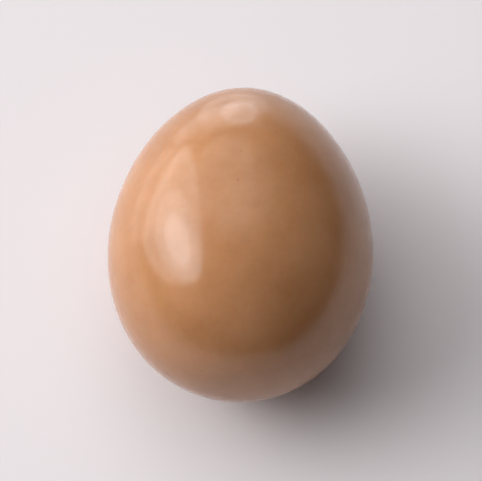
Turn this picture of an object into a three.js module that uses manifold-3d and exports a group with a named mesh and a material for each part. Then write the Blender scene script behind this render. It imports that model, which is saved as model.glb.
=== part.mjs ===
// A peeled quail egg, boiled and steeped in a soy marinade, lying on its side.
//
// It is one piece: a solid of cooked white with no cut, bite or hollow, so the yolk inside isn't modelled.
// The outline is an egg curve turned about the long axis. Three things make it a cooked egg and not a
// perfect one: the girth has slumped a little wider than it is tall, the air cell has flattened the blunt
// end, and the soft white has settled onto a small flat.
//
// Frame: millimetres, +Z up. The origin is the middle of that flat, straight below the centre of mass.
// The long axis runs along Y, narrow end towards +Y, and dips by the few degrees at which a loose egg
// comes to rest.

import * as THREE from 'three';
import { mergeVertices } from 'three/addons/utils/BufferGeometryUtils.js';
import Module from 'manifold-3d';

// Driving dimensions, in millimetres, and shares of them.
const EGG_LENGTH = 30.9; // pole to pole, before the air cell flattens the blunt end
const EGG_WIDTH = 24.5; // mean diameter of the widest girth
const NARROWING = 0.095; // share by which the narrow end is slimmer, and the blunt end fuller
const END_TAPER = 0.024; // share by which both ends are drawn in
const GIRTH_SLUMP = 0.012; // share by which the girth is wider, and flatter, than round
const AIR_CELL_DEPTH = 0.2; // how far the blunt pole is pushed in
const AIR_CELL_RADIUS = 3.6; // distance from that pole over which the push fades away
const REST_FLAT_WIDTH = 5; // across the flat that the egg rests on

// How finely the surface is faceted.
const GIRTH_SEGMENTS = 56;
const LENGTH_SEGMENTS = 38;
const PROFILE_SAMPLES = 2000; // for the sums and searches along the profile

const WHITE_COLOUR = 0xb58159;
const WHITE_ROUGHNESS = 0.15;

const HALF_LENGTH = EGG_LENGTH / 2;

// Half-width of the unscaled egg curve at a station from -1, the blunt pole, to 1, the narrow pole.
function curveHalfWidth(station) {
  const fullness = 1 - NARROWING * station - END_TAPER * station ** 2;
  return Math.sqrt(Math.max(0, 1 - station ** 2)) * fullness;
}

// Stations from pole to pole, evenly spaced by angle so that they crowd towards the round ends.
function stationsAlong(count) {
  return Array.from({ length: count + 1 }, (_, i) => -Math.cos((Math.PI * i) / count));
}

const fineStations = stationsAlong(PROFILE_SAMPLES);
const HALF_WIDTH_SCALE = EGG_WIDTH / 2 / Math.max(...fineStations.map(curveHalfWidth));

// The profile at a station: distance from the long axis, and place along it.
function profilePoint(station) {
  return new THREE.Vector2(HALF_WIDTH_SCALE * curveHalfWidth(station), HALF_LENGTH * station);
}

// Place of the centre of mass along the long axis: the mean of thin slices weighted by their volume.
function centreOfMassAlong() {
  const points = fineStations.map(profilePoint);
  let volume = 0;
  let moment = 0;
  for (let i = 1; i < points.length; i++) {
    const radius = (points[i].x + points[i - 1].x) / 2;
    const along = (points[i].y + points[i - 1].y) / 2;
    const slice = radius ** 2 * (points[i].y - points[i - 1].y);
    volume += slice;
    moment += slice * along;
  }
  return moment / volume;
}

// A loose egg settles with the profile point nearest to its centre of mass underneath, where that centre is
// lowest. This gives the point's angle from straight below the centre, its distance, and its radius.
function findRest(centre) {
  const centrePoint = new THREE.Vector2(0, centre);
  const fromCentre = fineStations.map((station) => profilePoint(station).sub(centrePoint));
  const lowest = fromCentre.reduce((best, point) => (point.length() < best.length() ? point : best));
  return { dip: Math.atan2(lowest.y, lowest.x), height: lowest.length(), radius: lowest.x };
}

// The whole egg in its own frame: centred on its long axis, which is Y.
function wholeEgg() {
  const profile = stationsAlong(LENGTH_SEGMENTS).map(profilePoint);
  const geometry = new THREE.LatheGeometry(profile, GIRTH_SEGMENTS);
  const position = geometry.getAttribute('position');
  const point = new THREE.Vector3();
  for (let i = 0; i < position.count; i++) {
    point.fromBufferAttribute(position, i);
    const fromPole = Math.hypot(point.x, point.z) / AIR_CELL_RADIUS;
    if (point.y < 0) point.y += AIR_CELL_DEPTH * Math.exp(-(fromPole ** 2));
    point.x *= 1 + GIRTH_SLUMP;
    point.z *= 1 - GIRTH_SLUMP;
    position.setXYZ(i, point.x, point.y, point.z);
  }
  return geometry;
}

const wasm = await Module();
wasm.setup();

// A closed geometry as a solid that can be cut.
function toSolid(geometry) {
  const bare = new THREE.BufferGeometry();
  bare.setAttribute('position', geometry.getAttribute('position'));
  bare.setIndex(geometry.getIndex());
  const merged = mergeVertices(bare, 1e-3);
  const vertProperties = merged.getAttribute('position').array;
  const triVerts = new Uint32Array(merged.getIndex().array);
  return new wasm.Manifold(new wasm.Mesh({ numProp: 3, vertProperties, triVerts }));
}

// A solid as a geometry that three.js can draw.
function toGeometry(solid) {
  const mesh = solid.getMesh();
  const geometry = new THREE.BufferGeometry();
  geometry.setAttribute('position', new THREE.BufferAttribute(mesh.vertProperties, mesh.numProp));
  geometry.setIndex(new THREE.BufferAttribute(mesh.triVerts, 1));
  geometry.computeVertexNormals();
  return geometry;
}

// The egg turned and lowered into its resting place, with the part below the table taken off as its flat.
function restingEgg() {
  const centre = centreOfMassAlong();
  const rest = findRest(centre);
  const flatDepth = REST_FLAT_WIDTH ** 2 / (8 * rest.radius);
  const slumpedHeight = rest.height * (1 - GIRTH_SLUMP);
  const egg = wholeEgg();
  egg.translate(0, -centre, 0);
  egg.rotateX(-rest.dip);
  egg.translate(0, 0, slumpedHeight - flatDepth);

  const belowTable = new THREE.BoxGeometry(2 * EGG_WIDTH, 2 * EGG_LENGTH, EGG_WIDTH);
  belowTable.translate(0, 0, -EGG_WIDTH / 2);
  return toGeometry(toSolid(egg).subtract(toSolid(belowTable)));
}

const stainedWhite = new THREE.MeshStandardMaterial({
  color: WHITE_COLOUR,
  roughness: WHITE_ROUGHNESS,
  metalness: 0,
});

const egg = new THREE.Mesh(restingEgg(), stainedWhite);
egg.name = 'marinated_egg';

const part = new THREE.Group();
part.add(egg);

export default part;
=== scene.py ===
# A peeled quail egg, boiled and steeped in a soy marinade, lying on its side on a pale table.
# Everything is in metres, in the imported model's own frame: +Z up, narrow end towards +Y.

import math

import bpy
from mathutils import Matrix, Vector


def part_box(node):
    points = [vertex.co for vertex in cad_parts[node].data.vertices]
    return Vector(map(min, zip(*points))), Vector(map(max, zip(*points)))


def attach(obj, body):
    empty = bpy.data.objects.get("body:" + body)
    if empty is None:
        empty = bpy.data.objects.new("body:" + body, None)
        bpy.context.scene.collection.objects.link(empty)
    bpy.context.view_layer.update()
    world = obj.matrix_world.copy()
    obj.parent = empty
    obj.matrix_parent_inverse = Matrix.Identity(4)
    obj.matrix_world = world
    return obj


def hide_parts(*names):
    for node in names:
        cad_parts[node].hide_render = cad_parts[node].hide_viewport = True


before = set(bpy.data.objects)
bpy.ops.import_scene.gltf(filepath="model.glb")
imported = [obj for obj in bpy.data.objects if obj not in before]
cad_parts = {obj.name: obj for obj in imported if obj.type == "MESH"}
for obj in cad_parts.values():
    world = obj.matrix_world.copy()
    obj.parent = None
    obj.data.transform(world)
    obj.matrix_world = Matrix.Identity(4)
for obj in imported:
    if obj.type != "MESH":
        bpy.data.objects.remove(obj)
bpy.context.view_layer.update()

# ---- The egg ----
# One boiled quail egg out of its shell: a closed body of cooked white, firm and a little springy. The girth
# has slumped slightly, the air cell has flattened the blunt end, and the soft white rests on a small flat.

MM = 0.001

EGG_LENGTH = 30.9 * MM  # pole to pole, before the air cell flattens the blunt end
EGG_WIDTH = 24.5 * MM  # mean diameter of the widest girth
NARROWING = 0.095  # share by which the narrow end is slimmer, and the blunt end fuller
END_TAPER = 0.024  # share by which both ends are drawn in
GIRTH_SLUMP = 0.012  # share by which the girth is wider, and flatter, than round
AIR_CELL_DEPTH = 0.2 * MM
AIR_CELL_RADIUS = 3.6 * MM
DIP = math.radians(7.03)  # how far the narrow end dips when a loose egg comes to rest
FLAT_EDGE = 0.12 * MM  # how softly the rest flat meets the round of the egg
SWELL_HEIGHT, SWELL_WIDTH = 0.05 * MM, 10 * MM  # cooked white isn't quite even: it has broad, low swells
RIPPLE_HEIGHT, RIPPLE_WIDTH = 0.014 * MM, 2.6 * MM  # and fainter ripples, where the shell's skin held it
SWELL_SEED, RIPPLE_SEED = 4.0, 11.0
BALL_SUBDIVISIONS = 7
PROFILE_STEPS = 1000  # for the search along the egg curve


class Link:
    """A socket of a node tree. Arithmetic on it adds Math nodes, and node() adds any other kind."""

    def __init__(self, tree, socket=None):
        self.tree = tree
        self.socket = socket

    def node(self, kind, inputs=None, output=0, **settings):
        """A node of one kind. Its settings are set first, then its sockets' values or links."""
        made = self.tree.nodes.new(kind)
        for name, value in settings.items():
            setattr(made, name, value)
        for key, value in (inputs or {}).items():
            socket = made.inputs[key] if isinstance(key, int) else self.find(made, key)
            if isinstance(value, Link):
                self.tree.links.new(value.socket, socket)
            else:
                socket.default_value = value
        return Link(self.tree, made.outputs[output]) if made.outputs else None

    @staticmethod
    def find(made, name):
        """The socket in use that has this name or identifier."""
        return next(s for s in made.inputs if name in (s.identifier, s.name) and s.enabled)

    def sibling(self, name):
        """Another output of the same node."""
        return Link(self.tree, self.socket.node.outputs[name])

    def parts(self):
        """The X, Y and Z of a vector."""
        split = self.node("ShaderNodeSeparateXYZ", {0: self})
        return [split.sibling(name) for name in "XYZ"]

    def math(self, operation, first, second=None):
        """A Math node of one or two values."""
        values = {0: first} if second is None else {0: first, 1: second}
        return self.node("ShaderNodeMath", values, operation=operation)

    def __add__(self, other):
        return self.math("ADD", self, other)

    def __radd__(self, other):
        return self.math("ADD", other, self)

    def __sub__(self, other):
        return self.math("SUBTRACT", self, other)

    def __rsub__(self, other):
        return self.math("SUBTRACT", other, self)

    def __mul__(self, other):
        return self.math("MULTIPLY", self, other)

    def __rmul__(self, other):
        return self.math("MULTIPLY", other, self)

    def __truediv__(self, other):
        return self.math("DIVIDE", self, other)

    def __rtruediv__(self, other):
        return self.math("DIVIDE", other, self)

    def __pow__(self, other):
        return self.math("POWER", self, other)


def curve_half_width(station):
    """Half-width of the unscaled egg curve, from -1 at the blunt pole to 1 at the narrow pole."""
    return math.sqrt(1 - station**2) * (1 - NARROWING * station - END_TAPER * station**2)


widest = max(curve_half_width(2 * step / PROFILE_STEPS - 1) for step in range(PROFILE_STEPS + 1))
egg_low, egg_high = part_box("marinated_egg")
egg_centre = (egg_low + egg_high) / 2

egg_form = bpy.data.node_groups.new("egg_form", "GeometryNodeTree")
egg_form.interface.new_socket("Egg", in_out="OUTPUT", socket_type="NodeSocketGeometry")
egg_sizes = {
    "Half length": EGG_LENGTH / 2,
    "Half width": EGG_WIDTH / 2 / widest,
    "Narrowing": NARROWING,
    "End taper": END_TAPER,
    "Girth slump": GIRTH_SLUMP,
    "Air cell depth": AIR_CELL_DEPTH,
    "Air cell radius": AIR_CELL_RADIUS,
    "Swell height": SWELL_HEIGHT,
    "Swell width": SWELL_WIDTH,
    "Ripple height": RIPPLE_HEIGHT,
    "Ripple width": RIPPLE_WIDTH,
    "Swell seed": SWELL_SEED,
    "Ripple seed": RIPPLE_SEED,
    "Dip": DIP,
    "Middle": egg_centre.y,
    "Top": egg_high.z,
    "Flat edge": FLAT_EDGE,
}
egg_inputs = {
    name: egg_form.interface.new_socket(name, in_out="INPUT", socket_type="NodeSocketFloat").identifier
    for name in egg_sizes
}
sizes_node = egg_form.nodes.new("NodeGroupInput")
size = {name: Link(egg_form, sizes_node.outputs[name]) for name in egg_sizes}
form = Link(egg_form)

# A round ball is drawn out along the egg curve, and its blunt pole is pushed in.
ball = form.node("GeometryNodeMeshIcoSphere", {"Radius": 1.0, "Subdivisions": BALL_SUBDIVISIONS})
across, station, upright = form.node("GeometryNodeInputPosition").parts()
half_width = size["Half width"] * (1 - size["Narrowing"] * station - size["End taper"] * station * station)
from_pole = half_width * (1 - station * station) ** 0.5 / size["Air cell radius"]
air_cell = form.math("EXPONENT", from_pole * from_pole * -1) * form.math("LESS_THAN", station, 0.0)
drawn_out = form.node(
    "ShaderNodeCombineXYZ",
    {
        "X": across * half_width * (1 + size["Girth slump"]),
        "Y": station * size["Half length"] + air_cell * size["Air cell depth"],
        "Z": upright * half_width * (1 - size["Girth slump"]),
    },
)
egg_body = form.node("GeometryNodeSetPosition", {"Geometry": ball, "Position": drawn_out})


def rise_and_fall(width, height, seed):
    """Smooth hills and hollows of one width, up to a height either way."""
    hills = form.node(
        "ShaderNodeTexNoise",
        {"Vector": form.node("GeometryNodeInputPosition"), "W": seed, "Scale": 1 / width, "Detail": 1.0},
        noise_dimensions="4D",
    )
    return (hills - 0.5) * 2 * height


# The white's unevenness stands out along the surface's own direction.
swell = rise_and_fall(size["Swell width"], size["Swell height"], size["Swell seed"])
ripple = rise_and_fall(size["Ripple width"], size["Ripple height"], size["Ripple seed"])
outwards = form.node("GeometryNodeInputNormal")
uneven = form.node("ShaderNodeVectorMath", {0: outwards, "Scale": swell + ripple}, operation="SCALE")
egg_body = form.node("GeometryNodeSetPosition", {"Geometry": egg_body, "Offset": uneven})

# The egg is tilted to its rest, set into the frame's box, and pressed level where it meets the table.
tilted = form.node(
    "ShaderNodeVectorRotate",
    {"Vector": form.node("GeometryNodeInputPosition"), "Angle": size["Dip"] * -1},
    rotation_type="X_AXIS",
)
egg_body = form.node("GeometryNodeSetPosition", {"Geometry": egg_body, "Position": tilted})
extent = form.node("GeometryNodeBoundBox", {"Geometry": egg_body})
extent_low, extent_high = extent.sibling("Min").parts(), extent.sibling("Max").parts()
x, y, z = form.node("GeometryNodeInputPosition").parts()
settled_z = z + size["Top"] - extent_high[2]
settled = form.node(
    "ShaderNodeCombineXYZ",
    {
        "X": x,
        "Y": y + size["Middle"] - (extent_low[1] + extent_high[1]) / 2,
        "Z": form.node(
            "ShaderNodeMath", {0: settled_z, 1: 0.0, 2: size["Flat edge"]}, operation="SMOOTH_MAX"
        ),
    },
)
egg_body = form.node("GeometryNodeSetPosition", {"Geometry": egg_body, "Position": settled})
egg_body = form.node("GeometryNodeSetShadeSmooth", {"Geometry": egg_body})

# The stained white is moist, dense and a little see-through, brown from the marinade, with a satin shine.
# The stain is almost even: softly mottled and clouded, a little deeper in the pores, and darker in a few
# pits, where small bubbles lay against the shell.

STAIN_DARK = (0.395, 0.178, 0.073)
STAIN_LIGHT = (0.525, 0.262, 0.128)
STAIN_DEEP = (0.20, 0.085, 0.035)
MOTTLE_WIDTH, MOTTLE_SHARE = 7 * MM, 1.7  # the shares say how far each shifts the stain
CLOUD_WIDTH, CLOUD_SHARE = 1.9 * MM, 0.5
GRAIN_WIDTH, GRAIN_SHARE, GRAIN_RELIEF = 0.6 * MM, 0.4, 0.003 * MM
PORE_SPACING, PORE_RADIUS, PORE_SHARE, PORE_DEPTH = 1.0 * MM, 0.2 * MM, 0.12, 0.002 * MM
PIT_SPACING, PIT_RADIUS, PIT_SHARE, PIT_DEPTH = 3.2 * MM, 0.2 * MM, 0.45, 0.012 * MM
SATIN_ROUGHNESS, WETNESS_SPREAD, GRAIN_SPREAD = 0.145, 0.08, 0.04
WHITE_IOR = 1.5
SCATTER_WEIGHT, SCATTER_DEPTH = 0.6, 1.5 * MM
SCATTER_BY_COLOUR = (1.0, 0.5, 0.25)  # red light passes deepest into the white

stained_white = bpy.data.materials.new("stained_white")
stained_white.use_nodes = True
stained_white.node_tree.nodes.clear()
skin = Link(stained_white.node_tree)
spot = skin.node("ShaderNodeTexCoord", output="Object")


def patches(width, detail, seed):
    """Soft patches of one width, evenly to either side of zero."""
    noise = skin.node(
        "ShaderNodeTexNoise",
        {"Vector": spot, "W": seed, "Scale": 1 / width, "Detail": detail},
        noise_dimensions="4D",
    )
    return noise - 0.5


def dots(spacing, largest_radius):
    """Round dots of all sizes, one to a cell: 1 in the middle, fading to 0 at the rim."""
    cell = skin.node("ShaderNodeTexVoronoi", {"Vector": spot, "Scale": 1 / spacing}, feature="F1")
    own_size = skin.node("ShaderNodeSeparateColor", {"Color": cell.sibling("Color")})
    largest = largest_radius / spacing
    fade = largest / 2
    return skin.node("ShaderNodeClamp", {"Value": (own_size * largest - cell) / fade})


def mix_colour(factor, first, second):
    sockets = {"Factor_Float": factor}
    for name, colour in (("A_Color", first), ("B_Color", second)):
        sockets[name] = colour if isinstance(colour, Link) else (*colour, 1.0)
    return skin.node("ShaderNodeMix", sockets, output=2, data_type="RGBA", clamp_factor=True)


mottle = patches(MOTTLE_WIDTH, detail=2.0, seed=1.3)
cloud = patches(CLOUD_WIDTH, detail=2.0, seed=6.4)
grain = patches(GRAIN_WIDTH, detail=3.0, seed=5.1)
wetness = patches(CLOUD_WIDTH * 2, detail=2.0, seed=3.9)
pores = dots(PORE_SPACING, PORE_RADIUS)
pits = dots(PIT_SPACING, PIT_RADIUS)

lightness = mottle * MOTTLE_SHARE + cloud * CLOUD_SHARE + grain * GRAIN_SHARE + 0.5
stain = mix_colour(lightness, STAIN_DARK, STAIN_LIGHT)
stain = mix_colour(pores * PORE_SHARE + pits * PIT_SHARE, stain, STAIN_DEEP)
relief = grain * GRAIN_RELIEF - pores * PORE_DEPTH - pits * PIT_DEPTH
surface = skin.node(
    "ShaderNodeBsdfPrincipled",
    {
        "Base Color": stain,
        "Roughness": SATIN_ROUGHNESS + wetness * WETNESS_SPREAD + grain * GRAIN_SPREAD,
        "Normal": skin.node("ShaderNodeBump", {"Strength": 1.0, "Distance": 1.0, "Height": relief}),
        "IOR": WHITE_IOR,
        "Subsurface Weight": SCATTER_WEIGHT,
        "Subsurface Radius": SCATTER_BY_COLOUR,
        "Subsurface Scale": SCATTER_DEPTH,
    },
)
skin.node("ShaderNodeOutputMaterial", {"Surface": surface})

egg_body = form.node("GeometryNodeRealizeInstances", {"Geometry": egg_body})
egg_body = form.node("GeometryNodeSetMaterial", {"Geometry": egg_body, "Material": stained_white})
form.node("NodeGroupOutput", {0: egg_body})

quail_egg = bpy.data.objects.new("quail_egg", bpy.data.meshes.new("quail_egg"))
bpy.context.scene.collection.objects.link(quail_egg)
maker = quail_egg.modifiers.new("egg_form", "NODES")
maker.node_group = egg_form
for name, value in egg_sizes.items():
    maker[egg_inputs[name]] = value
made_egg = quail_egg.evaluated_get(bpy.context.evaluated_depsgraph_get())
egg_mesh = bpy.data.meshes.new_from_object(made_egg)
quail_egg.modifiers.remove(maker)
quail_egg.data = egg_mesh
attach(quail_egg, "root")
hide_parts("marinated_egg")

# ---- The table and the light ----
# A matt table top in a dim room, painted pale round the egg and darker further out: a painted pool of
# light, with painted shade beyond it. A large window to the left lights the egg, a pale ceiling hangs over
# it, and white cards and strips stand behind it. None of this belongs to the egg.

# Painted light: the pale colour round the egg is a painted pool of light, and the dark one further out is
# painted shade.
TABLE_PALE = (0.72, 0.681, 0.700)
TABLE_PAINTED_SHADE = (0.17, 0.161, 0.165)
PAINTED_POOL_RADIUS, PAINTED_SHADE_RADIUS = 40 * MM, 240 * MM
TABLE_REACH = 6.0  # metres from the middle to each side
TABLE_ROUGHNESS, TABLE_IOR = 0.75, 1.25
ROOM = (0.02, 0.0195, 0.02)

table_mesh = bpy.data.meshes.new("table")
table_corners = [(TABLE_REACH * x, TABLE_REACH * y, 0) for x, y in ((-1, -1), (1, -1), (1, 1), (-1, 1))]
table_mesh.from_pydata(table_corners, [], [(0, 1, 2, 3)])
table = bpy.data.objects.new("table", table_mesh)
bpy.context.scene.collection.objects.link(table)
table_top = bpy.data.materials.new("table_top")
table_top.use_nodes = True
table_top.node_tree.nodes.clear()
top = Link(table_top.node_tree)
from_egg = top.node(
    "ShaderNodeVectorMath",
    {0: top.node("ShaderNodeTexCoord", output="Object")},
    output="Value",
    operation="LENGTH",
)
# Painted light: the table's colour fades from the pale pool round the egg to painted shade further out.
painted_light_falloff = top.node(
    "ShaderNodeMapRange",
    {"Value": from_egg, "From Min": PAINTED_POOL_RADIUS, "From Max": PAINTED_SHADE_RADIUS},
    interpolation_type="SMOOTHSTEP",
)
table_with_painted_pool = top.node(
    "ShaderNodeMix",
    {"Factor_Float": painted_light_falloff, "A_Color": (*TABLE_PALE, 1.0), "B_Color": (*TABLE_PAINTED_SHADE, 1.0)},
    output=2,
    data_type="RGBA",
)
matt_top = top.node(
    "ShaderNodeBsdfPrincipled",
    {"Base Color": table_with_painted_pool, "Roughness": TABLE_ROUGHNESS, "IOR": TABLE_IOR},
)
top.node("ShaderNodeOutputMaterial", {"Surface": matt_top})
table_mesh.materials.append(table_top)


def soft_light(
    name,
    width,
    height,
    radiance,
    azimuth,
    elevation,
    line=None,
    shift=(0, 0),
    distance=1.0,
    rounded=True,
    fill=True,
    shine=True,
):
    """A flat light that faces the egg, from an azimuth in degrees from +X towards +Y.

    It is an ellipse where it is rounded, and else a rectangle. Its width runs level, or along a line. Its
    width, its height and its shift within its own plane are in shares of its distance. Without fill it only
    shows in reflections, and without shine it shows in none.
    """
    turn, rise = math.radians(azimuth), math.radians(elevation)
    out = Vector((math.cos(turn) * math.cos(rise), math.sin(turn) * math.cos(rise), math.sin(rise)))
    side = line or Vector((-out.y, out.x, 0.0))
    side = (side - side.dot(out) * out).normalized()
    upwards = out.cross(side)
    lamp = bpy.data.lights.new(name, "AREA")
    lamp.shape = "ELLIPSE" if rounded else "RECTANGLE"
    lamp.size, lamp.size_y = width * distance, height * distance
    area = lamp.size * lamp.size_y * (math.pi / 4 if rounded else 1)
    lamp.energy = radiance * math.pi * area
    holder = bpy.data.objects.new(name, lamp)
    bpy.context.scene.collection.objects.link(holder)
    holder.location = egg_centre + (out + side * shift[0] + upwards * shift[1]) * distance
    holder.rotation_mode = "QUATERNION"
    holder.rotation_quaternion = Matrix((side, upwards, out)).transposed().to_quaternion()
    holder.visible_camera = False
    holder.visible_diffuse = fill
    holder.visible_glossy = shine


# The window brightens inwards in three layers. Its long side slopes down towards the narrow end.
window = {"azimuth": 162, "elevation": 31, "line": Vector((0, 0.81, -0.58))}
soft_light("window_sky", 2.04, 1.02, 2.25, shift=(0.15, 0.07), **window)
soft_light("window_glow", 1.26, 0.64, 2.0, shift=(-0.19, 0.03), distance=0.97, **window)
soft_light("window_core", 0.70, 0.36, 3.0, shift=(-0.19, 0.02), distance=0.94, **window)

# The ceiling has a soft edge. The overhead light only fills.
soft_light("ceiling", 0.75, 1.25, 0.6, azimuth=105, elevation=46)
soft_light("ceiling_edge", 1.25, 1.60, 0.5, azimuth=103, elevation=50, distance=1.1)
soft_light("overhead", 1.20, 1.20, 0.85, azimuth=160, elevation=83, rounded=False, shine=False)

# The cards stand close behind the egg, and show in its shine only. The strips lie far behind them.
soft_light("back_card", 0.60, 0.66, 0.6, azimuth=96.5, elevation=1, distance=0.036, fill=False)
soft_light("back_glow", 0.32, 0.42, 1.2, azimuth=93, elevation=6, distance=0.038, fill=False)
soft_light("side_card", 0.60, 0.40, 0.9, azimuth=110, elevation=-3, distance=0.067, fill=False)
soft_light("left_card", 0.78, 0.62, 0.75, azimuth=149, elevation=1, distance=0.067, fill=False)
soft_light("back_strip", 0.60, 0.14, 0.65, azimuth=96, elevation=3.5)
soft_light("side_strip", 0.50, 0.16, 0.40, azimuth=118, elevation=4.5)

world = bpy.context.scene.world or bpy.data.worlds.new("room")
bpy.context.scene.world = world
world.use_nodes = True
world.node_tree.nodes["Background"].inputs["Color"].default_value = (*ROOM, 1.0)
world.node_tree.nodes["Background"].inputs["Strength"].default_value = 1.0

bpy.context.scene.view_settings.view_transform = "Standard"
bpy.context.scene.view_settings.look = "None"

# ---- The camera ----
# A long lens looks down on the lying egg from the blunt end's side, so the narrow end is at the top.
# Its line of sight stands 62 degrees from the long axis, which dips by 7.

CAMERA_AZIMUTH = math.radians(2.2)
CAMERA_ELEVATION = math.radians(69)
CAMERA_DISTANCE = 0.6
VIEW_HEIGHT = 45 * MM  # what the frame takes in at the egg

camera_back = Vector(
    (
        math.sin(CAMERA_AZIMUTH) * math.cos(CAMERA_ELEVATION),
        -math.cos(CAMERA_AZIMUTH) * math.cos(CAMERA_ELEVATION),
        math.sin(CAMERA_ELEVATION),
    )
)
camera_data = bpy.data.cameras.new("camera")
camera_data.lens = camera_data.sensor_width * CAMERA_DISTANCE / VIEW_HEIGHT
camera = bpy.data.objects.new("camera", camera_data)
bpy.context.scene.collection.objects.link(camera)
camera.location = egg_centre + camera_back * CAMERA_DISTANCE
camera.rotation_mode = "QUATERNION"
camera.rotation_quaternion = (-camera_back).to_track_quat("-Z", "Y")
bpy.context.scene.camera = camera
